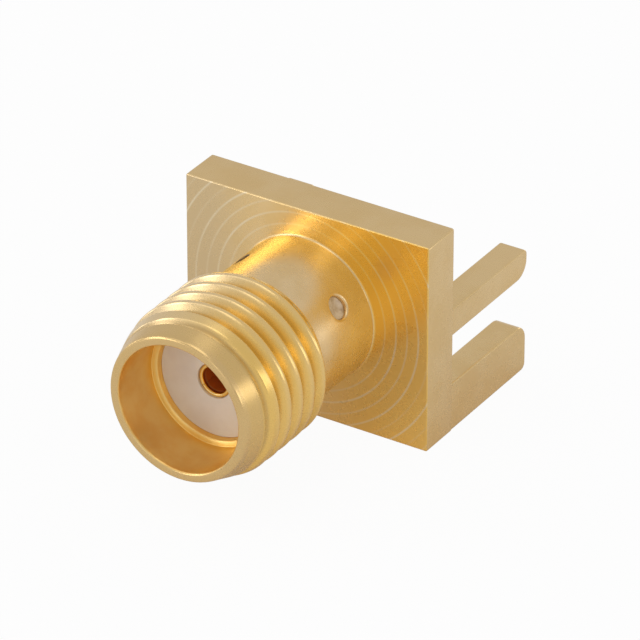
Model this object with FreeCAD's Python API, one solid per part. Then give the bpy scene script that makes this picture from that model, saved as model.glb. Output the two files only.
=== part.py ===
import FreeCAD, Part
import math
import os

# Edge-mount coaxial jack: a threaded barrel, a rectangular flange, and four legs that straddle the edge of
# a circuit board. Units are millimetres. The origin is on the barrel's axis, in the plane of the flange's
# back face, where the edge of the board stops. The barrel reaches along -Y, the legs along +Y, and +Z is up.

V = FreeCAD.Vector
ORIGIN = V(0, 0, 0)
AXIS = V(0, 1, 0)

# Flange
flange_width = 9.5
flange_height = 7.8
flange_thickness = 1.6
axis_height = 4.1
flange_edge_round = 0.1

# Barrel, from the flange's front face to the rim
barrel_length = 7.8
thread_diameter = 6.2
lead_in_angle = 18.0
neck_diameter = 5.28
neck_length = 3.14
run_out_angle = 40.0
neck_corner_break = 0.08
rim_break = 0.07

# Thread, a right-hand vee of 36 turns to the inch
thread_pitch = 25.4 / 36
thread_angle = 60.0
thread_depth = 0.39
thread_root_width = 0.08
first_groove_from_rim = 0.745
cutter_share_of_pitch = 0.92

# Insulator sleeve
insulator_diameter = 4.1
insulator_fit = 0.01
insulator_recess = 0.22
insulator_back_recess = 0.04

# Mouth, wider than the sleeve by a ledge, with the rim around it
ledge_width = 0.25
rim_width = 0.32
mouth_depth = 1.95
mouth_lip_break = 0.07
bore_edge_break = 0.04

# Centre contact
contact_diameter = 1.27
contact_fit = 0.01
contact_recess = 0.03
socket_diameter = 0.94
socket_depth = 2.9
socket_lead_in = 0.04
socket_slot_count = 4
socket_slot_first_angle = 33.0
socket_slot_width = 0.14
socket_slot_length = 1.7
groove_diameter = 0.92
groove_margin = 0.05
tail_diameter = 0.76
tail_length = 3.8
tail_chamfer = 0.12

# Cross holes in the neck, two drills right through it, and the resin in them
cross_hole_diameter = 0.8
cross_hole_first_angle = 33.0
cross_hole_second_angle = 130.5
cross_hole_from_flange = 1.5
cross_hole_edge_break = 0.06
resin_recess = 0.12
resin_fit = 0.005

# Legs, and the slot between them that takes the board
leg_length = 4.87
leg_width = 1.0
leg_inset = 0.03
leg_edge_break = 0.05
upper_leg_height = 1.0
board_slot = 1.88
solder_gap = 0.04
upper_leg_top_round = 0.2
upper_leg_slot_round = 0.62
lower_leg_slot_round = 0.6
lower_leg_foot_round = 0.25

# How far a cutting tool runs past the faces that it cuts
overrun = 1.0

# Places worked out from the sizes
flange_front = -flange_thickness
rim_y = flange_front - barrel_length
ledge_y = rim_y + mouth_depth
insulator_front = ledge_y + insulator_recess
insulator_back = -insulator_back_recess
contact_front = insulator_front + contact_recess
neck_radius = neck_diameter / 2
thread_radius = thread_diameter / 2
mouth_radius = insulator_diameter / 2 + ledge_width
rim_radius = mouth_radius + rim_width
lead_in_end = rim_y + (thread_radius - rim_radius) / math.tan(math.radians(lead_in_angle))
thread_root_radius = thread_radius - thread_depth
neck_front = flange_front - neck_length
run_out_start = neck_front - (thread_radius - neck_radius) / math.tan(math.radians(run_out_angle))
insulator_bore_radius = insulator_diameter / 2 + insulator_fit
contact_bore_radius = contact_diameter / 2 + contact_fit
cross_hole_y = flange_front - cross_hole_from_flange
resin_radius = neck_radius - resin_recess
flange_bottom = -axis_height
slot_top = -(tail_diameter / 2 + solder_gap)
slot_bottom = slot_top - board_slot
leg_outer_x = flange_width / 2 - leg_inset


def turned(points):
    """Solid of revolution about the barrel's axis from (radius, y) points."""
    corners = [V(radius, y, 0) for radius, y in points]
    face = Part.Face(Part.makePolygon(corners + corners[:1]))
    return face.revolve(ORIGIN, AXIS, 360)


def cylinder(radius, y_start, y_end):
    """Plain cylinder on the barrel's axis."""
    return Part.makeCylinder(radius, y_end - y_start, V(0, y_start, 0), AXIS)


def ring_edges(shape, radius, y):
    """Circular edges of the given radius that lie in the plane y."""
    found = []
    for edge in shape.Edges:
        if edge.Degenerated:
            continue
        curve = edge.Curve
        if isinstance(curve, Part.Circle) and abs(curve.Radius - radius) < 1e-4:
            if abs(curve.Center.y - y) < 1e-4:
                found.append(edge)
    return found


def cross_hole_directions():
    """Unit vectors from the axis to the cross holes, a pair of opposite ones for each drill."""
    directions = []
    for degrees in (cross_hole_first_angle, cross_hole_second_angle):
        angle = math.radians(degrees)
        way = V(math.cos(angle), 0, math.sin(angle))
        directions += [way, way * -1]
    return directions


def cross_drills(radius, reach):
    """One drill per cross hole, from the axis outwards."""
    start = V(0, cross_hole_y, 0)
    return [Part.makeCylinder(radius, reach, start, way) for way in cross_hole_directions()]


def make_thread_cutter():
    """Vee swept along the thread's helix, from over the neck to in front of the rim."""
    half_root = thread_root_width / 2
    half_top = thread_pitch * cutter_share_of_pitch / 2
    top_radius = thread_root_radius + (half_top - half_root) / math.tan(math.radians(thread_angle / 2))
    first_y = rim_y + first_groove_from_rim + thread_pitch / 4
    start_y = first_y + thread_pitch * math.ceil((neck_front + half_top - first_y) / thread_pitch)
    turns = math.ceil((start_y + half_top - rim_y) / thread_pitch)
    helix = Part.makeHelix(thread_pitch, thread_pitch * turns, thread_root_radius)
    vee = [
        V(thread_root_radius, 0, -half_root),
        V(thread_root_radius, 0, half_root),
        V(top_radius, 0, half_top),
        V(top_radius, 0, -half_top),
    ]
    sweep = Part.BRepOffsetAPI.MakePipeShell(Part.Wire(helix.Edges))
    sweep.setFrenetMode(True)
    sweep.add(Part.makePolygon(vee + vee[:1]), False, False)
    sweep.build()
    sweep.makeSolid()
    cutter = sweep.shape()
    cutter.rotate(ORIGIN, V(1, 0, 0), 90)
    cutter.translate(V(0, start_y, 0))
    return cutter


def make_barrel():
    """Turned outside of the barrel: rim, lead-in cone, thread, run-out and neck."""
    outline = [
        (0, rim_y),
        (rim_radius, rim_y),
        (thread_radius, lead_in_end),
        (thread_radius, run_out_start),
        (neck_radius, neck_front),
        (neck_radius, flange_front / 2),
        (0, flange_front / 2),
    ]
    barrel = turned(outline)
    barrel = barrel.makeChamfer(rim_break, ring_edges(barrel, rim_radius, rim_y))
    return barrel.cut(make_thread_cutter())


def make_flange():
    """Rectangular flange with its edges broken by the tumbling before plating."""
    corner = V(-flange_width / 2, flange_front, flange_bottom)
    block = Part.makeBox(flange_width, flange_thickness, flange_height, corner)
    return block.makeFillet(flange_edge_round, block.Edges)


def end_corner(z_edge, radius, inward):
    """Start, middle and end of the arc that rounds one corner of a leg's end, inward being 1 or -1 in Z."""
    bulge = radius * (1 - math.sqrt(0.5))
    return [
        V(0, leg_length - radius, z_edge),
        V(0, leg_length - bulge, z_edge + inward * bulge),
        V(0, leg_length, z_edge + inward * radius),
    ]


def make_leg(z_low, z_high, low_round, high_round):
    """Right-hand leg: its side drawn in the YZ plane, as thick as the leg is wide, rooted in the flange."""
    root_y = flange_front / 2
    root_low = V(0, root_y, z_low)
    root_high = V(0, root_y, z_high)
    high = end_corner(z_high, high_round, -1)
    low = end_corner(z_low, low_round, 1)
    outline = [
        Part.LineSegment(root_low, root_high),
        Part.LineSegment(root_high, high[0]),
        Part.Arc(high[0], high[1], high[2]),
        Part.LineSegment(high[2], low[2]),
        Part.Arc(low[2], low[1], low[0]),
        Part.LineSegment(low[0], root_low),
    ]
    side = Part.Face(Part.Wire([curve.toShape() for curve in outline]))
    side.translate(V(leg_outer_x - leg_width, 0, 0))
    leg = side.extrude(V(leg_width, 0, 0))
    rim = [edge for edge in leg.Edges if edge.BoundBox.XLength < 1e-6 and edge.BoundBox.YMax > 0]
    return leg.makeChamfer(leg_edge_break, rim)


def make_legs():
    """Four legs: an upper pair on the board's top and a taller lower pair under it."""
    upper_top = slot_top + upper_leg_height
    right = [
        make_leg(slot_top, upper_top, upper_leg_slot_round, upper_leg_top_round),
        make_leg(flange_bottom, slot_bottom, lower_leg_foot_round, lower_leg_slot_round),
    ]
    left = [leg.mirror(ORIGIN, V(1, 0, 0)) for leg in right]
    return right + left


def make_countersinks():
    """Cones that break the outer edge of each cross hole."""
    tip_radius = cross_hole_diameter / 2
    sagitta = neck_radius - math.sqrt(neck_radius ** 2 - tip_radius ** 2)
    depth = cross_hole_edge_break + sagitta
    reach = depth + cross_hole_edge_break
    cones = []
    for way in cross_hole_directions():
        start = V(0, cross_hole_y, 0) + way * (neck_radius - depth)
        cones.append(Part.makeCone(tip_radius, tip_radius + reach, reach, start, way))
    return cones


def make_body():
    """Barrel, flange and legs as the one machined piece, with its bores and cross holes."""
    body = make_barrel().fuse(make_flange()).removeSplitter()
    body = body.makeChamfer(neck_corner_break, ring_edges(body, neck_radius, flange_front))
    body = body.fuse(make_legs()).removeSplitter()
    body = body.cut(cylinder(mouth_radius, rim_y - overrun, ledge_y))
    body = body.makeChamfer(mouth_lip_break, ring_edges(body, mouth_radius, rim_y))
    body = body.cut(cylinder(insulator_bore_radius, rim_y - overrun, overrun))
    body = body.makeChamfer(bore_edge_break, ring_edges(body, insulator_bore_radius, ledge_y))
    body = body.cut(cross_drills(cross_hole_diameter / 2, thread_radius))
    return body.cut(make_countersinks())


def make_insulator():
    """Sleeve that fills the body's bore, with the cross holes drilled through it to the contact."""
    sleeve = cylinder(insulator_diameter / 2, insulator_front, insulator_back)
    sleeve = sleeve.cut(cylinder(contact_bore_radius, insulator_front - overrun, insulator_back + overrun))
    return sleeve.cut(cross_drills(cross_hole_diameter / 2, thread_radius))


def make_contact():
    """Centre contact: slotted socket in front, groove under the cross holes, tail pin behind."""
    groove_half = cross_hole_diameter / 2 + groove_margin
    outer = contact_diameter / 2
    tail = tail_diameter / 2
    outline = [
        (0, contact_front + socket_depth),
        (socket_diameter / 2, contact_front + socket_depth),
        (socket_diameter / 2, contact_front + socket_lead_in),
        (socket_diameter / 2 + socket_lead_in, contact_front),
        (outer - socket_lead_in, contact_front),
        (outer, contact_front + socket_lead_in),
        (outer, cross_hole_y - groove_half),
        (groove_diameter / 2, cross_hole_y - groove_half),
        (groove_diameter / 2, cross_hole_y + groove_half),
        (outer, cross_hole_y + groove_half),
        (outer, insulator_back),
        (tail, insulator_back),
        (tail, tail_length - tail_chamfer),
        (tail - tail_chamfer, tail_length),
        (0, tail_length),
    ]
    contact = turned(outline)
    slots = []
    for i in range(socket_slot_count):
        corner = V(0, contact_front - overrun, -socket_slot_width / 2)
        slot = Part.makeBox(contact_diameter, socket_slot_length + overrun, socket_slot_width, corner)
        slot.rotate(ORIGIN, AXIS, 360.0 * i / socket_slot_count - socket_slot_first_angle)
        slots.append(slot)
    return contact.cut(slots)


def make_epoxy_lock():
    """Resin in the cross holes and round the contact's groove, set as one piece."""
    arms = cross_drills(cross_hole_diameter / 2 - resin_fit, thread_radius)
    reach = cylinder(resin_radius, cross_hole_y - cross_hole_diameter, cross_hole_y + cross_hole_diameter)
    arms = [arm.common(reach) for arm in arms]
    groove_half = cross_hole_diameter / 2 + groove_margin - resin_fit
    ring = cylinder(contact_diameter / 2, cross_hole_y - groove_half, cross_hole_y + groove_half)
    lock = ring.fuse(arms).removeSplitter()
    core = cylinder(groove_diameter / 2 + resin_fit, cross_hole_y - overrun, cross_hole_y + overrun)
    return lock.cut(core)


def write_part(name, shape):
    """Write one piece, after checking that it is a single sound solid."""
    if len(shape.Solids) != 1 or not shape.isValid():
        raise RuntimeError(name + " is not one valid solid")
    solid = shape.Solids[0]
    solid.exportStep("parts/" + name + ".step")
    print(name, "volume", round(solid.Volume, 3), "mm3")


os.makedirs("parts", exist_ok=True)
write_part("body", make_body())
write_part("insulator", make_insulator())
write_part("contact", make_contact())
write_part("epoxy_lock", make_epoxy_lock())
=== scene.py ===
# %% [markdown]
# # A coaxial jack for the edge of a circuit board
# The real jack is one turned and milled piece of brass, plated with gold, with a white sleeve, a spring
# contact and a drop of resin inside. This lesson dresses its plain CAD solids. It cuts the thread, softens
# the edges as tumbling does, and builds each finish from small node groups. Lengths in the code are
# millimetres, as on a drawing, and turn into metres only where a mesh or a node needs them.

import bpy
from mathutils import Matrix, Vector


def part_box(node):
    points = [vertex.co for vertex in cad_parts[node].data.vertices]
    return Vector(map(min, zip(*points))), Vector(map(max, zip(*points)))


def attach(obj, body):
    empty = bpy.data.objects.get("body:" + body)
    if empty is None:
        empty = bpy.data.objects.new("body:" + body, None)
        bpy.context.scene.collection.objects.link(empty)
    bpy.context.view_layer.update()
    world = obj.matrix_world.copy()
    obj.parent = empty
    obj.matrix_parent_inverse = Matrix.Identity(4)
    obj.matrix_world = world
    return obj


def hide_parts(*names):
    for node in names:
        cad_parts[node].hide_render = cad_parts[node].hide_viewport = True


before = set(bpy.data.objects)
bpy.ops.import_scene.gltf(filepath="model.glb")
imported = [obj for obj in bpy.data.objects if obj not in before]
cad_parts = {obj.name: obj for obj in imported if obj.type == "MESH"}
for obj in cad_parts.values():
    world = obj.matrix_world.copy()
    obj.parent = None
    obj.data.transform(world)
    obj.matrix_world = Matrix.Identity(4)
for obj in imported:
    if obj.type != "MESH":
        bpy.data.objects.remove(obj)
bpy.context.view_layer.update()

# %% [markdown]
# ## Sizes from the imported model
# The dressed pieces have to fit their CAD solids, so the flange, the rim, the sleeve and the contact are
# measured from them. Bounding boxes say nothing of the thread, the bores or the shape of a leg, so those
# are values of their own further on.

# %% Measure the CAD nodes
import math

import bmesh
import bpy
import numpy as np
from mathutils import Matrix, Vector

MM = 0.001


def box_mm(node):
    """Lowest and highest corner of a CAD node, in millimetres."""
    low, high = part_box(node)
    return low / MM, high / MM


body_low, body_high = box_mm("body")
sleeve_low, sleeve_high = box_mm("insulator")
contact_low, contact_high = box_mm("contact")
print("body from", [round(v, 2) for v in body_low], "to", [round(v, 2) for v in body_high])

# %% [markdown]
# ## The body as a stack of rings
# A lathe makes round sections and a mill makes the flange, yet both can be drawn as closed loops with the
# same number of points. If each loop is joined to the next, from the rim over the thread and the flange,
# round the back and down the bore to the rim again, the result is one closed skin with no seam. This was
# chosen over joining cylinders and boxes, because every fillet is then just a few more loops.

# %% Rings round the barrel's axis
COLUMNS = 240
column_angles = np.radians(np.arange(COLUMNS) * 360.0 / COLUMNS)
rings = []


def add_ring(xs, y, zs):
    """Add a ring from one x and one z per column, all of them at one y."""
    rings.append(np.column_stack((xs, np.full(COLUMNS, y), zs)))


def add_circle(radius, y):
    """Add a circle round the barrel's axis; radius may also be one value per column."""
    add_ring(radius * np.cos(column_angles), y, radius * np.sin(column_angles))


def add_tube(radius, y_start, y_end, count):
    """Rings of one radius after y_start, evenly spaced up to y_end."""
    for y in np.linspace(y_start, y_end, count + 1)[1:]:
        add_circle(radius, y)


def turns_to(last, steps):
    """Angles in radians from zero to last degrees, for the loops of a round."""
    return [math.radians(last * i / steps) for i in range(steps + 1)]


def rounded(size, steps, to_face=False):
    """(inset, depth) of each loop of a rounded edge, from face to side, or from side to face."""
    pairs = [(size * (1 - math.sin(turn)), size * (1 - math.cos(turn))) for turn in turns_to(90.0, steps)]
    return [(depth, inset) for inset, depth in pairs] if to_face else pairs


print("points in a ring:", COLUMNS)

# %% The flange's outline as a ring
flange_front = -1.6
flange_back = 0.0
flange_corner_round = 0.08
corner_steps = 4
corner_signs = [(1, 1), (-1, 1), (-1, -1), (1, -1)]
half_width = body_high.x
edge_z = {1: body_high.z, -1: body_low.z}


def corner_column(side_x, side_z):
    """Column whose direction points at a corner of the flange."""
    turn = math.degrees(math.atan2(edge_z[side_z], side_x * half_width)) % 360
    return round(turn * COLUMNS / 360)


def add_outline(inset, y):
    """Add the flange's outline with rounded corners, drawn in by inset, one point per column."""
    radius = flange_corner_round - inset
    spots = []
    for quarter, (side_x, side_z) in enumerate(corner_signs):
        centre_x = side_x * (half_width - flange_corner_round)
        centre_z = edge_z[side_z] - side_z * flange_corner_round
        for step in range(-corner_steps, corner_steps + 1):
            turn = math.radians(90 * quarter + 45 + 45 * step / corner_steps)
            column = corner_column(side_x, side_z) + step
            spots.append((column, centre_x + radius * math.cos(turn), centre_z + radius * math.sin(turn)))
    columns, xs, zs = zip(*spots)
    every = np.arange(COLUMNS)
    add_ring(np.interp(every, columns, xs, period=COLUMNS), y, np.interp(every, columns, zs, period=COLUMNS))


print("flange corners at columns", [corner_column(x, z) for x, z in corner_signs])

# %% [markdown]
# ## The thread
# The thread is a sixty degree vee, 36 turns to the inch, cut into a blank that has a lead-in cone in front
# and a run-out cone behind. It could be swept along a helix and subtracted, but the cones make that
# fragile. Here the radius is a formula of angle and length instead: the vee, rounded at root and crest, and
# then never more than either cone. The groove fades out on the cones by itself, as it does under the tool.

# %% Sizes of the thread and its cones
crest_radius = 3.1
root_radius = 2.70
thread_pitch = 25.4 / 36
thread_angle = 60.0
flank_slope = math.tan(math.radians(90.0 - thread_angle / 2))
root_half_width = 0.035
root_at_top = -8.655
rim_y = body_low.y
rim_radius = 2.62
lead_in_angle = 18.0
lead_in_slope = math.tan(math.radians(lead_in_angle))
neck_radius = 2.64
neck_front = -4.74
run_out_angle = 40.0
run_out_slope = math.tan(math.radians(run_out_angle))
print("turns of thread:", round((neck_front - root_at_top) / thread_pitch, 2))

# %% Radius of the threaded surface
crest_softness = 0.05
root_softness = 0.035
cone_softness = 0.014


def soft_min(a, b, softness):
    """The smaller value, with the corner between the two rounded off."""
    return (a + b - np.sqrt((a - b) ** 2 + softness ** 2)) / 2


def soft_max(a, b, softness):
    """The larger value, with the corner between the two rounded off."""
    return (a + b + np.sqrt((a - b) ** 2 + softness ** 2)) / 2


def threaded_radius(angle, y):
    """Radius of the thread at an angle in radians and a length y, right-hand, between its two cones."""
    turns = (y - root_at_top) / thread_pitch + (angle - math.pi / 2) / (2 * math.pi)
    from_root = np.abs(turns - np.round(turns)) * thread_pitch
    flank = root_radius + (from_root - root_half_width) * flank_slope
    radius = soft_max(flank, root_radius, root_softness)
    radius = soft_min(radius, crest_radius, crest_softness)
    radius = soft_min(radius, rim_radius + (y - rim_y) * lead_in_slope, cone_softness)
    radius = soft_min(radius, neck_radius + (neck_front - y) * run_out_slope, cone_softness)
    return soft_max(radius, neck_radius, cone_softness)


print("radius halfway along the thread:", round(float(threaded_radius(0.0, (rim_y + neck_front) / 2)), 3))

# %% Rings of the rim and the thread
rim_round = 0.1
rim_steps = 5
rim_turn = 90.0 - lead_in_angle
rim_tangent = rim_round * math.tan(math.radians(rim_turn / 2))
rim_centre = (rim_radius - rim_tangent, rim_y + rim_round)
for turn in turns_to(rim_turn, rim_steps):
    radius = rim_centre[0] + rim_round * math.sin(turn)
    add_circle(radius, rim_centre[1] - rim_round * math.cos(turn))

thread_step = 0.02
fade_length = 0.05
past_run_out = 0.04
thread_start = rings[-1][0, 1]
thread_end = neck_front + past_run_out
thread_rows = round((thread_end - thread_start) / thread_step)
for y in np.linspace(thread_start, thread_end, thread_rows + 1)[1:]:
    fade = min(1.0, (y - thread_start) / fade_length)
    plain = rim_radius + (y - rim_y) * lead_in_slope
    add_circle(plain + fade * (threaded_radius(column_angles, y) - plain), y)
print("rings up to the neck:", len(rings))

# %% Rings of the neck and its fillet
hole_y = -3.1
patch_rows = 20
patch_half = 0.69
rows_before_patch = 4
rows_after_patch = 3
neck_fillet = 0.08
fillet_steps = 5
add_tube(neck_radius, thread_end, hole_y - patch_half, rows_before_patch)
neck_patch_row = len(rings) - 1
add_tube(neck_radius, hole_y - patch_half, hole_y + patch_half, patch_rows)
add_tube(neck_radius, hole_y + patch_half, flange_front - neck_fillet, rows_after_patch)
for inset, depth in rounded(neck_fillet, fillet_steps, to_face=True)[1:]:
    add_circle(neck_radius + inset, flange_front - depth)
print("rings up to the flange:", len(rings))

# %% [markdown]
# ## The flange and the bore
# The flange's front face runs from the neck's fillet out to a rectangle with slightly rounded corners, and
# the columns are spread so that one meets each corner. The edges are rounded by less than a tenth of a
# millimetre, and this small round draws the fine light line round the real flange. A loop a hair inside
# each round keeps the shading of the flat faces flat. The loops then go over the back, into the bore, past
# the ledge and over the lip to where they began.

# %% Rings of the flange
edge_round = 0.055
edge_steps = 4
flat_margin = 0.02
add_circle(neck_radius + neck_fillet + flat_margin, flange_front)
add_outline(edge_round + flat_margin, flange_front)
add_outline(edge_round, flange_front)
for inset, depth in rounded(edge_round, edge_steps)[1:]:
    add_outline(inset, flange_front + depth)
for inset, depth in rounded(edge_round, edge_steps, to_face=True):
    add_outline(inset, flange_back - depth)
add_outline(edge_round + flat_margin, flange_back)
print("rings up to the bore:", len(rings))

# %% Rings of the bore, the ledge and the mouth
bore_radius = 2.06
edge_break = 0.04
ledge_y = -7.45
mouth_radius = 2.3
ledge_corner_round = 0.03
ledge_corner_steps = 3
mouth_rows = 8
lip_round = 0.09
lip_steps = 6
add_circle(bore_radius + edge_break + flat_margin, flange_back)
add_circle(bore_radius + edge_break, flange_back)
add_circle(bore_radius, flange_back - edge_break)
add_circle(bore_radius, hole_y + patch_half)
bore_patch_row = len(rings) - 1
add_tube(bore_radius, hole_y + patch_half, hole_y - patch_half, patch_rows)
add_circle(bore_radius, ledge_y + edge_break)
add_circle(bore_radius + edge_break, ledge_y)
for inset, depth in rounded(ledge_corner_round, ledge_corner_steps):
    add_circle(mouth_radius - inset, ledge_y - depth)
add_tube(mouth_radius, ledge_y - ledge_corner_round, rim_y + lip_round, mouth_rows)
for inset, depth in rounded(lip_round, lip_steps, to_face=True)[1:]:
    add_circle(mouth_radius + inset, rim_y + depth)
print("rings in all:", len(rings))

# %% [markdown]
# ## The four cross holes
# Resin is let in through four holes drilled across the neck, their outer edges softened. A boolean cut would
# leave long thin faces that catch the light badly on such a smooth neck. So a square patch of the grid is
# left out round each hole, on the neck and in the bore, and filled with loops that change from the
# square to the circle. The two circles are then joined by the hole's wall.

# %% Skin over the rings, open where the holes go
hole_angles = (33.0, 130.5, 213.0, 310.5)
hole_columns = [round(angle * COLUMNS / 360) for angle in hole_angles]
patch_reach = patch_rows // 2
points = np.concatenate(rings).tolist()
quads = []


def grid_index(row, column):
    """Number of a grid point; rows and columns both run round to the start."""
    return (row % len(rings)) * COLUMNS + column % COLUMNS


def in_patch(row, column, first_row):
    """True if the quad at a row and column lies in one of the square patches that begin at first_row."""
    if not first_row <= row < first_row + patch_rows:
        return False
    return any((column - centre + patch_reach) % COLUMNS < patch_rows for centre in hole_columns)


for row in range(len(rings)):
    for column in range(COLUMNS):
        if in_patch(row, column, neck_patch_row) or in_patch(row, column, bore_patch_row):
            continue
        quads.append([grid_index(row, column), grid_index(row + 1, column),
                      grid_index(row + 1, column + 1), grid_index(row, column + 1)])
print("hole columns:", hole_columns, "quads:", len(quads))

# %% Places round a patch and round a hole
loop_points = 4 * patch_rows
loop_turns = [2 * math.pi * k / loop_points for k in range(loop_points)]


def square_step(k):
    """Place of the k-th point round a square patch, in columns and rows from its centre."""
    from_right = min(k, loop_points - k)
    from_top = min(abs(k - patch_rows), loop_points - abs(k - patch_rows))
    across = max(-patch_reach, min(patch_reach, patch_rows - from_right))
    along = max(-patch_reach, min(patch_reach, patch_rows - from_top))
    return across, along


def hole_point(centre, across, along, height):
    """Point near a hole from its offset across the barrel, along it, and out from the axis."""
    turn = column_angles[centre]
    x = height * math.cos(turn) - across * math.sin(turn)
    z = height * math.sin(turn) + across * math.cos(turn)
    return [x, hole_y + along, z]


print("points round a patch:", loop_points)

# %% Loops from a square patch in to a circle
loop_shares = (0.3, 0.55, 0.75, 0.9, 1.0)
patch_half_angle = math.radians(patch_reach * 360.0 / COLUMNS)


def add_loop(new_points):
    """Add a loop of points and return their numbers."""
    points.extend(new_points)
    return list(range(len(points) - loop_points, len(points)))


def bridge(first, second):
    """Quads between two loops with the same number of points."""
    for k in range(loop_points):
        after = (k + 1) % loop_points
        quads.append([first[k], second[k], second[after], first[after]])


def patch_loops(centre, first_row, direction, radius, circle):
    """Loops from a square patch in to a circle on a cylinder; returns the numbers of the circle's points."""
    steps = [square_step(k) for k in range(loop_points)]
    middle_row = first_row + patch_reach
    last = [grid_index(middle_row + direction * along, centre + across) for across, along in steps]
    for share in loop_shares:
        loop = []
        for turn, (across, along) in zip(loop_turns, steps):
            square_arc = across / patch_reach * patch_half_angle * radius
            square_along = along / patch_reach * patch_half
            circle_arc = radius * math.asin(circle * math.cos(turn) / radius)
            arc = square_arc * (1 - share) + circle_arc * share
            along_mm = square_along * (1 - share) + circle * math.sin(turn) * share
            sideways = radius * math.sin(arc / radius)
            loop.append(hole_point(centre, sideways, along_mm, radius * math.cos(arc / radius)))
        loop = add_loop(loop)
        bridge(last, loop)
        last = loop
    return last


print("loops round each circle:", len(loop_shares))

# %% Drill the holes
hole_radius = 0.4
hole_edge_round = 0.085
hole_edge_steps = 5
edge_radius = hole_radius + hole_edge_round
edge_heights = [math.sqrt(neck_radius ** 2 - (edge_radius * math.cos(turn)) ** 2) for turn in loop_turns]
for centre in hole_columns:
    last = patch_loops(centre, neck_patch_row, 1, neck_radius, edge_radius)
    for inset, depth in rounded(hole_edge_round, hole_edge_steps)[1:]:
        radius = hole_radius + inset
        loop = add_loop([hole_point(centre, radius * math.cos(turn), radius * math.sin(turn), height - depth)
                         for turn, height in zip(loop_turns, edge_heights)])
        bridge(last, loop)
        last = loop
    inner = patch_loops(centre, bore_patch_row, -1, bore_radius, hole_radius)
    bridge(last, inner)
print("points:", len(points), "quads:", len(quads))

# %% Make the mesh and clean it
merge_distance = 1e-9


def new_object(name, data):
    """Object made from its data and linked to the scene."""
    obj = bpy.data.objects.new(name, data)
    bpy.context.scene.collection.objects.link(obj)
    return obj


def mesh_object(name, points_mm, faces, smooth=True):
    """Object from points in millimetres and faces, loose points removed and normals turned outwards."""
    mesh = bpy.data.meshes.new(name)
    mesh.from_pydata([[v * MM for v in point] for point in points_mm], [], faces)
    shape = bmesh.new()
    shape.from_mesh(mesh)
    bmesh.ops.delete(shape, geom=[v for v in shape.verts if not v.link_faces], context="VERTS")
    bmesh.ops.remove_doubles(shape, verts=shape.verts, dist=merge_distance)
    bmesh.ops.recalc_face_normals(shape, faces=shape.faces)
    open_edges = sum(1 for edge in shape.edges if len(edge.link_faces) != 2)
    shape.to_mesh(mesh)
    shape.free()
    if smooth:
        mesh.shade_smooth()
    print(name, "faces", len(mesh.polygons), "open edges", open_edges)
    return new_object(name, mesh)


body = mesh_object("threaded_body", points, quads)

# %% [markdown]
# ## The legs
# The four legs are milled with the flange, an upper pair on the board and a taller lower pair under it.
# Seen from the side each is a rounded rectangle, so it is the same kind of loop, moved sideways in a few
# steps that also round its long edges. A boolean unites each leg with the body, since the real part is one
# piece of brass with a sharp corner there. The lower pair ends five thousandths of a millimetre above the
# flange's lower edge, because a boolean wants no two faces in one plane.

# %% Outline and mesh of a leg
leg_end = 4.87
leg_root = -0.8
leg_outer_x = 4.72
leg_inner_x = 3.72
leg_edge_round = 0.06
leg_edge_steps = 4
leg_corner_steps = 10
upper_leg = {"z": (-0.42, 0.58), "rounds": (0.2, 0.1, 0.1, 0.62)}
lower_leg = {"z": (-4.095, -2.3), "rounds": (0.6, 0.1, 0.1, 0.25)}


def leg_ring(leg, inset, x):
    """Side outline of a leg, drawn in by inset, at a place across the board."""
    low, high = leg["z"]
    corners = [(leg_end, high, -1, -1), (leg_root, high, 1, -1), (leg_root, low, 1, 1), (leg_end, low, -1, 1)]
    ring = []
    for quarter, (y_edge, z_edge, y_in, z_in) in enumerate(corners):
        corner = leg["rounds"][quarter]
        reach = corner - inset
        for step in range(leg_corner_steps + 1):
            turn = math.radians(90 * quarter + 90 * step / leg_corner_steps)
            y = y_edge + y_in * corner + reach * math.cos(turn)
            z = z_edge + z_in * corner + reach * math.sin(turn)
            ring.append([x, y, z])
    return ring


def make_leg(name, leg, side):
    """One leg on the right (side 1) or left (side -1) of the flange."""
    loops = []
    for inset, depth in rounded(leg_edge_round, leg_edge_steps):
        loops.append(leg_ring(leg, inset, leg_outer_x - depth))
    for inset, depth in rounded(leg_edge_round, leg_edge_steps, to_face=True):
        loops.append(leg_ring(leg, inset, leg_inner_x + depth))
    count = len(loops[0])
    faces = [list(range(count)), list(range((len(loops) - 1) * count, len(loops) * count))]
    for row in range(len(loops) - 1):
        for k in range(count):
            this = row * count + k
            after = row * count + (k + 1) % count
            faces.append([this, after, after + count, this + count])
    spots = [[side * x, y, z] for loop in loops for x, y, z in loop]
    return mesh_object(name, spots, faces)


print("leg length behind the flange:", leg_end)

# %% Unite the legs with the body
sharp_angle = math.radians(60.0)


def join(target, tool, operation):
    """Boolean of tool into target, UNION or DIFFERENCE; the tool is removed."""
    boolean = target.modifiers.new("join", "BOOLEAN")
    boolean.operation = operation
    boolean.solver = "EXACT"
    boolean.object = tool
    graph = bpy.context.evaluated_depsgraph_get()
    joined = bpy.data.meshes.new_from_object(target.evaluated_get(graph))
    target.modifiers.clear()
    target.data = joined
    bpy.data.objects.remove(tool)


for height, leg in (("upper", upper_leg), ("lower", lower_leg)):
    for hand, side in (("right", 1), ("left", -1)):
        join(body, make_leg(f"{height} {hand} leg", leg, side), "UNION")
body.data.set_sharp_from_angle(angle=sharp_angle)
flatten = body.modifiers.new("flat faces stay flat", "WEIGHTED_NORMAL")
flatten.keep_sharp = True
flatten.weight = 100
print("body faces", len(body.data.polygons), "size mm", [round(v / MM, 3) for v in body.dimensions])

# %% [markdown]
# ## A lathe for the small pieces
# The other three pieces are turned or poured. A helper turns the half section that a drawing would show
# round the axis, with each corner eased by a small curve, so that no edge is sharper than a real one.
# The same helper makes the drills that cut a piece, turned to lie across the barrel.

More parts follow.
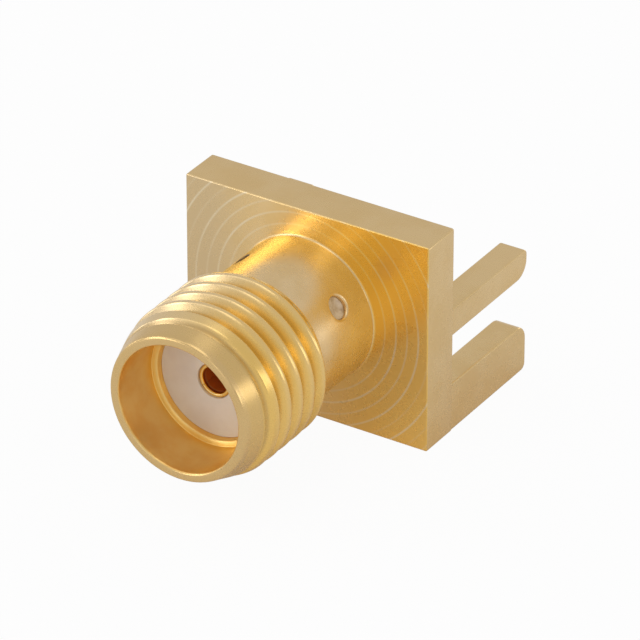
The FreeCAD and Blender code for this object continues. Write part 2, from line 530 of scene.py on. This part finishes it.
# %% Ease the corners of a section and turn it
small_trim = 0.025
trims_per_edge = 2.2
drill_segments = 64


def softened(outline, trim, steps=4):
    """Outline of (radius, y) points with every corner off the axis turned into a small curve."""
    result = []
    for i, spot in enumerate(outline):
        corner = Vector(spot)
        if corner.x == 0:
            result.append(corner)
            continue
        to_before = Vector(outline[i - 1]) - corner
        to_after = Vector(outline[(i + 1) % len(outline)]) - corner
        start = corner + to_before.normalized() * min(trim, to_before.length / trims_per_edge)
        end = corner + to_after.normalized() * min(trim, to_after.length / trims_per_edge)
        for step in range(steps + 1):
            share = step / steps
            result.append((1 - share) ** 2 * start + 2 * share * (1 - share) * corner + share ** 2 * end)
    return result


def turned_object(name, outline, place=None, segments=96):
    """Object turned about the Y axis from a closed outline; a matrix in millimetres may then place it."""
    spots = []
    for k in range(segments):
        turn = 2 * math.pi * k / segments
        for radius, y in outline:
            spot = Vector((radius * math.cos(turn), y, radius * math.sin(turn)))
            spots.append(list(place @ spot) if place else list(spot))
    count = len(outline)
    faces = []
    for k in range(segments):
        this = k * count
        after = (k + 1) % segments * count
        for i in range(count):
            j = (i + 1) % count
            if outline[i][0] == 0 and outline[j][0] == 0:
                continue
            faces.append([this + i, this + j, after + j, after + i])
    return mesh_object(name, spots, faces)


def across_barrel(column):
    """Matrix that turns the lathe's axis to the cross hole at a column."""
    turn = column_angles[column]
    way = Vector((math.cos(turn), 0, math.sin(turn)))
    swing = Vector((0, 1, 0)).rotation_difference(way).to_matrix().to_4x4()
    return Matrix.Translation((0, hole_y, 0)) @ swing


print("small corners are eased by", small_trim)

# %% [markdown]
# ## The sleeve
# The sleeve is a plain PTFE tube pressed into the bore, and shows only its front disc. It is drilled
# together with the body, so the same four holes run through it. Here a boolean is the short way, because
# the cut edges are hidden in the bore.

# %% Turn the sleeve and drill it
sleeve_radius = sleeve_high.x
contact_hole_radius = 0.638
sleeve_segments = 160
sleeve_outline = [(contact_hole_radius, sleeve_low.y), (sleeve_radius, sleeve_low.y),
                  (sleeve_radius, sleeve_high.y), (contact_hole_radius, sleeve_high.y)]
sleeve = turned_object("ptfe_sleeve", softened(sleeve_outline, small_trim), segments=sleeve_segments)
drill_outline = [(0, 0), (hole_radius, 0), (hole_radius, crest_radius), (0, crest_radius)]
for column in hole_columns:
    join(sleeve, turned_object("drill", drill_outline, across_barrel(column), drill_segments), "DIFFERENCE")
print("sleeve size mm", [round(v / MM, 2) for v in sleeve.dimensions])

# %% [markdown]
# ## The contact
# The contact is a pin with a socket in its front, slit into four fingers that the maker squeezes together,
# so the slits are hair lines at the tip. Its groove, under the cross holes, gives the resin a hold, and its
# thin tail is soldered to the board. The socket ends in the cone that a drill leaves.

# %% Half section of the contact
contact_radius = contact_high.x
contact_front = contact_low.y
tail_end = contact_high.y
socket_radius = 0.47
socket_depth = 2.9
drill_tip = 0.2
flare_depth = 0.06
flare_width = 0.035
nose_width = 0.06
nose_length = 0.05
groove_radius = 0.46
groove_half = 0.45
tail_radius = 0.38
tail_chamfer = 0.12
contact_outline = [
    (0, contact_front + socket_depth + drill_tip),
    (socket_radius, contact_front + socket_depth),
    (socket_radius, contact_front + flare_depth),
    (socket_radius + flare_width, contact_front),
    (contact_radius - nose_width, contact_front),
    (contact_radius, contact_front + nose_length),
    (contact_radius, hole_y - groove_half),
    (groove_radius, hole_y - groove_half),
    (groove_radius, hole_y + groove_half),
    (contact_radius, hole_y + groove_half),
    (contact_radius, sleeve_high.y),
    (tail_radius, sleeve_high.y),
    (tail_radius, tail_end - tail_chamfer),
    (tail_radius - tail_chamfer, tail_end),
    (0, tail_end),
]
contact_segments = 128
contact = turned_object("spring_contact", softened(contact_outline, small_trim), segments=contact_segments)

# %% Slit the socket into four fingers
slit_width = 0.008
slit_length = 1.7
slit_margin = 0.1
slit_faces = [[0, 1, 2, 3], [7, 6, 5, 4], [0, 4, 5, 1], [1, 5, 6, 2], [2, 6, 7, 3], [3, 7, 4, 0]]
for k in range(2):
    slit_turn = column_angles[hole_columns[0]] + k * math.pi / 2
    across = Vector((math.cos(slit_turn), 0, math.sin(slit_turn))) * (contact_radius + slit_margin)
    wide = Vector((-math.sin(slit_turn), 0, math.cos(slit_turn))) * slit_width / 2
    corners = []
    for y in (contact_front - slit_margin, contact_front + slit_length):
        corners += [list(Vector((0, y, 0)) + s * across + t * wide) for s, t in corner_signs]
    join(contact, mesh_object("slit", corners, slit_faces, smooth=False), "DIFFERENCE")
print("contact size mm", [round(v / MM, 2) for v in contact.dimensions])

# %% [markdown]
# ## The resin
# The resin is poured in through the cross holes, runs round the contact's groove and sets as one spider of a
# ring and four arms. It shrinks as it sets, so the top of each arm is a shallow dish. Each piece is turned
# by the lathe helper, and the arms are then united with the ring.

# %% Pour the resin
resin_radius = 2.49
resin_dip = 0.08
resin_gap = 0.005
resin_trim = 0.02
arm_overlap = 0.1
dish_steps = 10
resin_wall = hole_radius - resin_gap
ring_half = groove_half - resin_gap
resin_ring = [(groove_radius + resin_gap, hole_y - ring_half), (contact_radius, hole_y - ring_half),
              (contact_radius, hole_y + ring_half), (groove_radius + resin_gap, hole_y + ring_half)]
resin = turned_object("resin_lock", softened(resin_ring, resin_trim))
dish = [(resin_wall * k / dish_steps, resin_radius - resin_dip * (1 - (k / dish_steps) ** 2))
        for k in range(dish_steps, -1, -1)]
arm = [(0, contact_radius - arm_overlap), (resin_wall, contact_radius - arm_overlap)] + dish
for column in hole_columns:
    join(resin, turned_object("arm", arm, across_barrel(column), drill_segments), "UNION")
print("resin size mm", [round(v / MM, 2) for v in resin.dimensions])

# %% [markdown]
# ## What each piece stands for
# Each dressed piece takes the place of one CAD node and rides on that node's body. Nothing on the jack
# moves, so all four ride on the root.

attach(body, "root")
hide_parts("body")
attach(sleeve, "root")
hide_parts("insulator")
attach(contact, "root")
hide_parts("contact")
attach(resin, "root")
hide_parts("epoxy_lock")

# %% [markdown]
# ## Tools for the finishes
# Every finish here is worked out from the place on the object, so it sits still on the metal from any side
# and has no seam. An effect that several finishes share is a node group with named sockets, like a tool
# with a few knobs, and each material sets the knobs for itself.

# %% Helpers that build shader nodes
def add(tree, kind, inputs=None, **settings):
    """New node; a plain value is set on its socket, and another node's socket is linked to it."""
    node = tree.nodes.new("ShaderNode" + kind)
    for name, value in settings.items():
        setattr(node, name, value)
    for name, value in (inputs or {}).items():
        if isinstance(value, bpy.types.NodeSocket):
            tree.links.new(value, node.inputs[name])
        else:
            node.inputs[name].default_value = value
    return node


def maths(tree, operation, *values):
    """Output of a Math node."""
    return add(tree, "Math", dict(enumerate(values)), operation=operation).outputs[0]


def times(tree, first, *others):
    """Product of two or more values."""
    for other in others:
        first = maths(tree, "MULTIPLY", first, other)
    return first


def vector_maths(tree, operation, *values):
    """Vector output of a Vector Math node."""
    return add(tree, "VectorMath", dict(enumerate(values)), operation=operation).outputs["Vector"]


def ramp(tree, value, low, high, to_low=0.0, to_high=1.0, kind="SMOOTHSTEP"):
    """Value moved from the span low..high to the span to_low..to_high, smoothly or LINEAR."""
    limits = {"Value": value, "From Min": low, "From Max": high, "To Min": to_low, "To Max": to_high}
    return add(tree, "MapRange", limits, interpolation_type=kind).outputs["Result"]


def ramp_mm(tree, length, low, high, to_low=0.0, to_high=1.0):
    """The same for a length of the object, with low and high in millimetres."""
    return ramp(tree, length, low * MM, high * MM, to_low, to_high)


def blend(tree, share, under, over):
    """Colour that changes from under to over as share goes from zero to one."""
    return add(tree, "Mix", {0: share, 6: under, 7: over}, data_type="RGBA").outputs[2]


def object_place(tree):
    """Place on the object, in metres."""
    return add(tree, "TexCoord").outputs["Object"]


def noise(tree, scale, detail, roughness=0.5):
    """Soft random value that changes with the place; scale counts its clouds per metre."""
    look = {"Vector": object_place(tree), "Scale": scale, "Detail": detail, "Roughness": roughness}
    return add(tree, "TexNoise", look).outputs["Fac"]


def place_xyz(tree):
    """X, Y and Z of the place on the object, each in metres."""
    return add(tree, "SeparateXYZ", {"Vector": object_place(tree)}).outputs


def from_axis(tree):
    """Distance from the barrel's axis, in metres."""
    x, _, z = place_xyz(tree)
    return maths(tree, "SQRT", maths(tree, "ADD", times(tree, x, x), times(tree, z, z)))


def new_group(name, knobs, results):
    """Empty shader group; knobs has each input's start value, and results has each output's kind."""
    tree = bpy.data.node_groups.new(name, "ShaderNodeTree")
    for label, start in knobs.items():
        kind = "Color" if isinstance(start, tuple) else "Float"
        socket = tree.interface.new_socket(name=label, in_out="INPUT", socket_type="NodeSocket" + kind)
        socket.default_value = start
    for label, kind in results.items():
        tree.interface.new_socket(name=label, in_out="OUTPUT", socket_type="NodeSocket" + kind)
    return tree, tree.nodes.new("NodeGroupInput").outputs, tree.nodes.new("NodeGroupOutput").inputs


# %% [markdown]
# ## Two tones
# No real surface has one even colour. Plating varies in thickness, and plastic in how far light goes in.
# One way is to paint a picture, but it would have to be wrapped round every piece. This group mixes a pale
# and a deep tone in soft clouds of a given size, and each finish brings its own two tones.

# %% Group: two tones spread in soft clouds
cloud_span = (0.35, 0.65)
tree, knob, result = new_group(
    "two tones",
    {"Pale": (0.9, 0.7, 0.4, 1), "Deep": (0.8, 0.6, 0.3, 1), "Size mm": 1.0},
    {"Color": "Color"},
)
scale = maths(tree, "DIVIDE", 1.0 / MM, knob["Size mm"])
clouds = noise(tree, scale, detail=4.0, roughness=0.55)
tones = blend(tree, ramp(tree, clouds, *cloud_span), knob["Pale"], knob["Deep"])
tree.links.new(tones, result["Color"])
tone_group = tree
print("group:", tree.name, "nodes:", len(tree.nodes))

# %% [markdown]
# ## Satin grain
# A tumbled or moulded surface is never polished evenly. Fine grain scatters a highlight, and broader
# patches make it brighter here and duller there. The group gives a roughness between two limits, and the
# fine grain's height for a bump.

# %% Group: the fine grain of a tumbled or moulded surface
grain_span = (0.35, 0.65)
fine_per_patch = 9.0
tree, knob, result = new_group(
    "satin grain",
    {"Size mm": 0.1, "Low": 0.3, "High": 0.4},
    {"Roughness": "Float", "Height": "Float"},
)
scale = maths(tree, "DIVIDE", 1.0 / MM, knob["Size mm"])
fine = noise(tree, scale, detail=1.0)
patches = noise(tree, maths(tree, "DIVIDE", scale, fine_per_patch), detail=2.0)
both = maths(tree, "ADD", times(tree, fine, 0.5), times(tree, patches, 0.5))
spread = ramp(tree, both, *grain_span, knob["Low"], knob["High"], kind="LINEAR")
tree.links.new(spread, result["Roughness"])
tree.links.new(fine, result["Height"])
grain_group = tree
print("group:", tree.name, "nodes:", len(tree.nodes))

# %% [markdown]
# ## Turning marks
# A lathe tool that faces a flat leaves rings at an even pitch, some deep and some hardly there. The group
# finds the nearest ring from the distance to the axis, gives each ring a strength of its own from white
# noise, and wears it away in places. The Pattern knob picks which rings come out strong.

# %% Group: rings left by the lathe tool
weakest_ring = 0.22
least_kept = 0.5
wear_scale = 330.0
wear_span = (0.3, 0.6)
tree, knob, result = new_group(
    "turning marks",
    {"Pitch mm": 0.4, "Start mm": 0.0, "Width": 0.1, "Pattern": 0.0},
    {"Mark": "Float", "Height": "Float"},
)
radius_mm = times(tree, from_axis(tree), 1.0 / MM)
from_start = maths(tree, "SUBTRACT", radius_mm, knob["Start mm"])
count = maths(tree, "DIVIDE", from_start, knob["Pitch mm"])
nearest = maths(tree, "ROUND", count)
away = maths(tree, "ABSOLUTE", maths(tree, "SUBTRACT", count, nearest))
off_line = ramp(tree, maths(tree, "DIVIDE", away, knob["Width"]), 0.0, 1.0)
line = maths(tree, "SUBTRACT", 1.0, off_line)
ring_number = maths(tree, "ADD", nearest, knob["Pattern"])
chance = add(tree, "TexWhiteNoise", {"W": ring_number}, noise_dimensions="1D").outputs["Value"]
strength = maths(tree, "ADD", weakest_ring, times(tree, chance, 1.0 - weakest_ring))
kept = ramp(tree, noise(tree, wear_scale, detail=2.0), *wear_span, least_kept, 1.0)
mark = times(tree, line, times(tree, kept, strength))
tree.links.new(mark, result["Mark"])
tree.links.new(times(tree, mark, -1.0), result["Height"])
ring_group = tree
print("group:", tree.name, "nodes:", len(tree.nodes))

# %% [markdown]
# ## Gold plate
# The plating is a few thousandths of a millimetre of gold on brass, so it shows every mark of the tools
# below it. A gold mirror would be wrong: the real part is satin, and its tone changes from area to area.
# The milled outside is pale sand and the turned barrel warmer. The rest is painted light: painted shade
# on the face's left and a painted orange reflection on its right, painted shade in the thread's roots and a
# painted highlight on its crests. One metal colour under good lamps gave half of this, so each area has
# its own tone, laid over the last like a wash of paint.

# %% Helpers that fill and assign a material
def new_material(name):
    """Material with its tree and its Principled shader."""
    material = bpy.data.materials.new(name)
    material.use_nodes = True
    tree = material.node_tree
    return material, tree, tree.nodes["Principled BSDF"]


def place_group(tree, group, **knobs):
    """Outputs of a group node in a material; a knob's name has _ for each space."""
    node = tree.nodes.new("ShaderNodeGroup")
    node.node_tree = group
    for name, value in knobs.items():
        node.inputs[name.replace("_", " ")].default_value = value
    return node.outputs


def two_tones(tree, pale, deep, size):
    """Colour of the two tones group, from two triples of red, green and blue."""
    return place_group(tree, tone_group, Pale=(*pale, 1), Deep=(*deep, 1), Size_mm=size)["Color"]


def feed(tree, shader, color, roughness, height, strength, depth):
    """Link colour, roughness and a bump of a strength and a depth in millimetres to the shader."""
    bump = add(tree, "Bump", {"Height": height, "Strength": strength, "Distance": depth * MM})
    tree.links.new(color, shader.inputs["Base Color"])
    tree.links.new(roughness, shader.inputs["Roughness"])
    tree.links.new(bump.outputs["Normal"], shader.inputs["Normal"])


def dress(piece, material):
    """Make a material the only one on a piece."""
    piece.data.materials.clear()
    piece.data.materials.append(material)
    print(piece.name, "wears", material.name, "with", len(material.node_tree.nodes), "nodes")


# %% Gold plate: where each area begins
gold_plate, tree, shader = new_material("gold_plate")
x, y, _ = place_xyz(tree)
radius = from_axis(tree)
face_depth = 0.02
barrel_end = (flange_front - 0.12, flange_front - 0.04)
mouth_edge = (2.32, 2.36)
thread_floor = (2.66, 2.72)
thread_back = (neck_front, neck_front + 0.1)
neck_start = (neck_front - 0.1, neck_front)
neck_share = 0.65
barrel_width = (-2.2, 2.4)
on_face = maths(tree, "COMPARE", y, flange_front * MM, face_depth * MM)
on_barrel = ramp_mm(tree, y, *barrel_end, 1.0, 0.0)
in_mouth = times(tree, ramp_mm(tree, radius, *mouth_edge, 1.0, 0.0), on_barrel)
above_floor = ramp_mm(tree, radius, *thread_floor)
on_thread = times(tree, on_barrel, ramp_mm(tree, y, *thread_back, 1.0, 0.0), above_floor)
on_neck = times(tree, on_barrel, ramp_mm(tree, y, *neck_start, 0.0, neck_share))
left_to_right = ramp_mm(tree, x, *barrel_width)
print("areas: face, barrel, mouth, thread and neck")

# %% Gold plate: milled outside, turned barrel and face
face_share = 0.6
outside_tone = two_tones(tree, (0.91, 0.66, 0.335), (0.88, 0.62, 0.29), 1.6)
turned_tone = two_tones(tree, (0.955, 0.69, 0.345), (0.925, 0.65, 0.285), 1.6)
turned_share = maths(tree, "MAXIMUM", on_barrel, times(tree, on_face, face_share))
color = blend(tree, turned_share, outside_tone, turned_tone)
print("nodes:", len(tree.nodes))

# %% Gold plate: thread, neck and lead-in, with painted highlight, reflection and shade
# Painted light on the flanks: a painted highlight on the left and a painted deep orange reflection of the
# neighbouring gold on the right.
painted_highlight_flank = (0.95, 0.74, 0.45, 1)
painted_reflection_flank = (1.0, 0.66, 0.19, 1)
flank_light_share = 0.85
flank_light_tone = blend(tree, left_to_right, painted_highlight_flank, painted_reflection_flank)
color = blend(tree, times(tree, on_thread, flank_light_share), color, flank_light_tone)

# Painted shade in the thread's roots, strongest just behind each crest.
painted_root_shade = (0.56, 0.38, 0.17, 1)
root_shade_span = (2.80, 2.90)
root_shade_share = 0.5
past_rim = ramp_mm(tree, y, rim_y + 0.6, rim_y + 0.7)
root_shade_mask = times(tree, on_thread, ramp_mm(tree, radius, *root_shade_span, root_shade_share, 0.0), past_rim)
color = blend(tree, root_shade_mask, color, painted_root_shade)

neck_tone = two_tones(tree, (0.99, 0.765, 0.48), (0.88, 0.64, 0.35), 1.5)
color = blend(tree, on_neck, color, neck_tone)

# Painted shade on the lead-in cone, darker than the thread behind it.
lead_in_painted_shade = (0.80, 0.55, 0.24, 1)
lead_in_end = (rim_y + 0.65, rim_y + 0.8)
lead_in_shade_share = 0.75
color = blend(tree, ramp_mm(tree, y, *lead_in_end, lead_in_shade_share, 0.0), color, lead_in_painted_shade)
print("nodes:", len(tree.nodes))

# %% Gold plate: painted shade on the face's left and painted reflection on its right
# Painted shade on the face's left side.
painted_shade_gold = (0.80, 0.60, 0.335, 1)
painted_shade_span = (-4.0, -1.8)
painted_shade_side = times(tree, ramp_mm(tree, x, *painted_shade_span, 1.0, 0.0), on_face)
color = blend(tree, painted_shade_side, color, painted_shade_gold)

# Painted reflection on the face's right side: the deep orange of the barrel mirrored in it.
painted_reflection_gold = (1.0, 0.65, 0.18, 1)
painted_reflection_span = (-0.5, 3.0)
painted_reflection_share = 0.9
painted_reflection_side = times(tree, ramp_mm(tree, x, *painted_reflection_span, 0.0, painted_reflection_share), on_face)
color = blend(tree, painted_reflection_side, color, painted_reflection_gold)
print("nodes:", len(tree.nodes))

# %% Gold plate: painted highlight on the crests and warm mouth
# The crests are painted paler, a little for wear and mostly as a painted highlight, stronger on the left.
highlit_crest_gold = (0.98, 0.75, 0.45, 1)
crest_span = (2.98, crest_radius)
highlight_on_left = 0.5
highlight_on_right = 0.25
crest_highlight_share = ramp(tree, left_to_right, 0.0, 1.0, highlight_on_left, highlight_on_right)
painted_crest_highlight = times(tree, ramp_mm(tree, radius, *crest_span), on_barrel, crest_highlight_share)
color = blend(tree, painted_crest_highlight, color, highlit_crest_gold)

mouth_tone = two_tones(tree, (0.98, 0.68, 0.25), (0.94, 0.59, 0.19), 0.9)
color = blend(tree, in_mouth, color, mouth_tone)
print("nodes:", len(tree.nodes))

# %% [markdown]
# ## Turning marks and painted shade on the gold
# The facing cut left bright rings on the flange, wider apart than the grooves of fine turning, so the
# turning marks group draws them at their own pitch. Round the cross holes the gold has a painted shade, and
# the wall of the left ones is painted dark as shade. The distance from the two drills' axes gives both.

# %% Gold plate: bright rings on the face
bright_ring = (1.0, 0.85, 0.59, 1)
ring_share = 0.95
fillet_span = (2.8, 3.0)
rings_on_face = place_group(tree, ring_group, Pitch_mm=0.432, Start_mm=3.08, Width=0.14, Pattern=14.0)
clear_face = times(tree, on_face, ramp_mm(tree, radius, *fillet_span))
mark = times(tree, rings_on_face["Mark"], clear_face)
color = blend(tree, times(tree, mark, ring_share), color, bright_ring)
print("nodes:", len(tree.nodes))

# %% Gold plate: painted shade round the cross holes
from_holes = vector_maths(tree, "ADD", object_place(tree), (0, -hole_y * MM, 0))
off_axes = []
for column in hole_columns[:2]:
    way = (math.cos(column_angles[column]), 0, math.sin(column_angles[column]))
    across = vector_maths(tree, "CROSS_PRODUCT", from_holes, way)
    off_axes.append(add(tree, "VectorMath", {0: across}, operation="LENGTH").outputs["Value"])
off_hole = maths(tree, "MINIMUM", *off_axes)

# Painted shade round the cross holes.
hole_shade_gold = (0.82, 0.50, 0.17, 1)
hole_shade_span = (0.46, 0.85)
hole_shade_share = 0.4
painted_shade_round_hole = times(tree, ramp_mm(tree, off_hole, *hole_shade_span, hole_shade_share, 0.0), on_neck)
color = blend(tree, painted_shade_round_hole, color, hole_shade_gold)

# Painted shade on the wall of the left cross hole.
hole_wall_shade = (0.16, 0.09, 0.035, 1)
hole_wall_span = (0.41, 0.46)
on_left = maths(tree, "LESS_THAN", x, 0.0)
painted_shade_in_left_hole = times(tree, ramp_mm(tree, off_hole, *hole_wall_span, 1.0, 0.0), on_left)
color = blend(tree, painted_shade_in_left_hole, color, hole_wall_shade)
print("nodes:", len(tree.nodes))

# %% [markdown]
# ## Gold seen in gold
# Light that comes by way of two gold surfaces has lost its blue twice, so a flank of the thread turns deep
# orange where it mirrors its neighbour. The pale washes weaken this in a render. Light Path tells when a
# surface is seen in a mirror, and then the gold shows its full deep tone.

# %% Gold plate: deeper tone in reflections
mirrored_gold = (0.98, 0.69, 0.2, 1)
in_reflection = add(tree, "LightPath").outputs["Is Glossy Ray"]
color = blend(tree, in_reflection, color, mirrored_gold)
print("nodes:", len(tree.nodes))

# %% [markdown]
# ## Gloss of the gold
# The barrel is a shade glossier than the milled outside and less grained. Fine turning marks run round it
# and spread a highlight across themselves. Modelling them would take millions of faces, so the shader's
# anisotropy does it, with its tangent square to the marks.

# %% Gold plate: roughness, grain and spread of the highlight
mouth_roughness = 0.36
milled_grain = 0.25
turned_grain = 0.06
ring_depth = -0.5
milled = place_group(tree, grain_group, Size_mm=0.2, Low=0.25, High=0.31)
turned = place_group(tree, grain_group, Size_mm=0.2, Low=0.24, High=0.30)
roughness = add(tree, "Mix", {0: on_barrel, 2: milled["Roughness"], 3: turned["Roughness"]}).outputs[0]
roughness = add(tree, "Mix", {0: in_mouth, 2: roughness, 3: mouth_roughness}).outputs[0]
grain_share = ramp(tree, on_barrel, 0.0, 1.0, milled_grain, turned_grain)
height = maths(tree, "ADD", times(tree, milled["Height"], grain_share), times(tree, mark, ring_depth))
feed(tree, shader, color, roughness, height, strength=0.06, depth=0.01)

round_axis = vector_maths(tree, "CROSS_PRODUCT", (0, 1, 0), object_place(tree))
normal = add(tree, "NewGeometry").outputs["Normal"]
across_marks = vector_maths(tree, "CROSS_PRODUCT", normal, round_axis)
tree.links.new(across_marks, shader.inputs["Tangent"])
shader.inputs["Anisotropic"].default_value = 0.5
shader.inputs["Metallic"].default_value = 1.0
dress(body, gold_plate)

# %% [markdown]
# ## The contact's gold
# The contact has a thicker and brighter plating than the body. Deep in its socket, light is thrown back and
# forth until only red is left. A render stops after a few bounces, so the inside of the socket is given
# the red tone and less metal.

# %% Material: the contact's brighter gold
contact_gold, tree, shader = new_material("contact_gold")
socket_red = (0.7, 0.2, 0.035, 1)
socket_metal = 0.3
socket_wall = (0.49, 0.5)
red_start = (contact_front + flare_depth, contact_front + 0.25)
tone = two_tones(tree, (0.93, 0.66, 0.29), (0.88, 0.57, 0.21), 0.5)
polished = place_group(tree, grain_group, Size_mm=0.08, Low=0.16, High=0.24)
y = place_xyz(tree)["Y"]
in_bore = ramp_mm(tree, from_axis(tree), *socket_wall, 1.0, 0.0)
before_groove = maths(tree, "LESS_THAN", y, hole_y * MM)
in_socket = times(tree, in_bore, ramp_mm(tree, y, *red_start), before_groove)
color = blend(tree, in_socket, tone, socket_red)
feed(tree, shader, color, polished["Roughness"], polished["Height"], strength=0.15, depth=0.005)
tree.links.new(ramp(tree, in_socket, 0.0, 1.0, 1.0, socket_metal), shader.inputs["Metallic"])
dress(contact, contact_gold)

# %% [markdown]
# ## PTFE
# PTFE is a dense, slightly see-through white plastic that feels like wax, so light goes a little way into
# it and its gloss is soft. Plain white would look like paint. Subsurface light does the wax, and the
# turning marks group, at a fine pitch, does the faced front.

# %% Material: PTFE
ptfe, tree, shader = new_material("ptfe")
faced_depth = 0.4
tone = two_tones(tree, (0.94, 0.84, 0.75), (0.88, 0.77, 0.68), 1.3)
waxy = place_group(tree, grain_group, Size_mm=0.15, Low=0.38, High=0.5)
faced = place_group(tree, ring_group, Pitch_mm=0.11, Start_mm=0.0, Width=0.4)
height = maths(tree, "ADD", waxy["Height"], times(tree, faced["Height"], faced_depth))
feed(tree, shader, tone, waxy["Roughness"], height, strength=0.2, depth=0.01)
shader.inputs["Subsurface Weight"].default_value = 0.2
shader.inputs["Subsurface Radius"].default_value = (1.0, 0.8, 0.7)
shader.inputs["Subsurface Scale"].default_value = 0.3 * MM
dress(sleeve, ptfe)

# %% [markdown]
# ## Cured resin
# The resin is tan to brown, a little cloudy, and wet-looking where it set in the air. Glass would be the
# exact way, but in a hole this small nothing is seen through it. A plain brown under a thin clear coat
# looks the same and renders faster.

# %% Material: cured resin
resin_brown, tree, shader = new_material("resin")
tone = two_tones(tree, (0.78, 0.60, 0.40), (0.52, 0.35, 0.19), 0.3)
set_skin = place_group(tree, grain_group, Size_mm=0.12, Low=0.2, High=0.32)
feed(tree, shader, tone, set_skin["Roughness"], set_skin["Height"], strength=0.3, depth=0.01)
shader.inputs["Coat Weight"].default_value = 0.5
shader.inputs["Coat Roughness"].default_value = 0.15
dress(resin, resin_brown)

# %% [markdown]
# ## The camera
# A small part is photographed from far off with a long lens, which keeps its edges nearly parallel. The
# camera stands to the right of the jack and above it. Its place follows from two angles, the point it aims
# at and a distance, which is easier to adjust than a matrix.

# %% Camera at the angle of the photograph
azimuth = math.radians(32.131)
elevation = math.radians(30.428)
roll = math.radians(0.065)
distance_mm = 203.6
aim_mm = Vector((-0.033, -0.680, -0.951))
level_back = Vector((math.sin(azimuth), -math.cos(azimuth), 0))
level_right = Vector((math.cos(azimuth), math.sin(azimuth), 0))
back = level_back * math.cos(elevation) + Vector((0, 0, math.sin(elevation)))
right = math.cos(roll) * level_right + math.sin(roll) * back.cross(level_right)
up = back.cross(right)

camera_data = bpy.data.cameras.new("camera")
camera_data.lens = 342.11
camera_data.sensor_width = 36.0
camera_data.clip_start = 0.01
camera = new_object("camera", camera_data)
turned_axes = Matrix((right, up, back)).transposed().to_4x4()
camera.matrix_world = Matrix.Translation((aim_mm + distance_mm * back) * MM) @ turned_axes
bpy.context.scene.camera = camera
bpy.context.scene.view_settings.view_transform = "Standard"
print("camera at mm", [round(v / MM, 1) for v in camera.matrix_world.translation])

# %% [markdown]
# ## The table
# The jack stands on a white table that runs out of the picture. To the camera the table glows almost white
# and keeps a trace of the soft shadow. To the metal it is mostly paper, so that the part's lower sides
# stay as dark as the table really makes them.

# %% Pale floor that keeps a soft shadow
floor_reach = 1.5
floor_z = body_low.z * MM
floor_signs = ((-1, -1), (1, -1), (1, 1), (-1, 1))
floor_corners = [(x * floor_reach, y * floor_reach, floor_z) for x, y in floor_signs]
floor_mesh = bpy.data.meshes.new("floor")
floor_mesh.from_pydata(floor_corners, [], [[0, 1, 2, 3]])
floor = new_object("floor", floor_mesh)

white_to_camera = 0.95
white_to_metal = 0.03
pale_table, tree, shader = new_material("pale_table")
tree.nodes.remove(shader)
seen = add(tree, "LightPath").outputs
by_camera = times(tree, seen["Is Camera Ray"], white_to_camera)
in_mirror = maths(tree, "MAXIMUM", seen["Is Glossy Ray"], seen["Is Transmission Ray"])
white_share = maths(tree, "ADD", by_camera, times(tree, in_mirror, white_to_metal))
paper = add(tree, "BsdfDiffuse", {"Color": (0.88, 0.88, 0.88, 1)})
glow = add(tree, "Emission", {"Strength": 1.0})
surface = add(tree, "MixShader", {0: white_share, 1: paper.outputs[0], 2: glow.outputs[0]})
tree.links.new(surface.outputs[0], tree.nodes["Material Output"].inputs["Surface"])
dress(floor, pale_table)

# %% [markdown]
# ## The light tent
# Shiny parts are photographed in a light tent, bright all round, so that every side of the metal finds
# something pale to reflect. A few soft lamps outside it make brighter patches on its walls, and those make
# the streaks on the thread and the neck. The world stands for the tent and round area lamps for the
# patches, which is simpler than building walls.

# %% World: the tent's even light
tent_level = 0.6
white_level = 0.983
world = bpy.data.worlds.new("tent")
world.use_nodes = True
tree = world.node_tree
tent = tree.nodes["Background"]
tent.inputs["Color"].default_value = (1, 1, 1, 1)
seen = add(tree, "LightPath").outputs
tree.links.new(ramp(tree, seen["Is Camera Ray"], 0.0, 1.0, tent_level, white_level), tent.inputs["Strength"])
bpy.context.scene.world = world
print("tent level", tent_level, "seen as", white_level)

# %% Lamps: the brighter patches
lamp_distance_mm = 300.0


def soft_lamp(name, azimuth_degrees, elevation_degrees, width_mm, brightness):
    """Round lamp that faces the part; azimuth runs from the front to the right, and brightness 1 is white."""
    light = bpy.data.lights.new(name, "AREA")
    light.shape = "DISK"
    light.size = width_mm * MM
    light.energy = brightness * math.pi * math.pi * (light.size / 2) ** 2
    turn = math.radians(azimuth_degrees)
    rise = math.radians(elevation_degrees)
    way = Vector((math.sin(turn) * math.cos(rise), -math.cos(turn) * math.cos(rise), math.sin(rise)))
    lamp = new_object(name, light)
    lamp.location = way * lamp_distance_mm * MM
    lamp.rotation_euler = way.to_track_quat("Z", "Y").to_euler()
    lamp.visible_camera = False


lamps = [
    ("front left low", 323, 4, 110, 2.8),
    ("left soft", 300, 25, 110, 2.2),
    ("left low", 275, 5, 90, 1.4),
    ("front low", 0, 5, 90, 0.8),
    ("right", 90, 15, 120, 1.2),
    ("right back low", 120, 6, 100, 1.3),
    ("back low", 180, 5, 100, 1.8),
    ("top", 0, 80, 160, 0.9),
    ("top left", 315, 50, 140, 0.5),
    ("top front", 0, 50, 120, 0.5),
]
for lamp in lamps:
    soft_lamp(*lamp)
print("lamps:", len(bpy.data.lights))
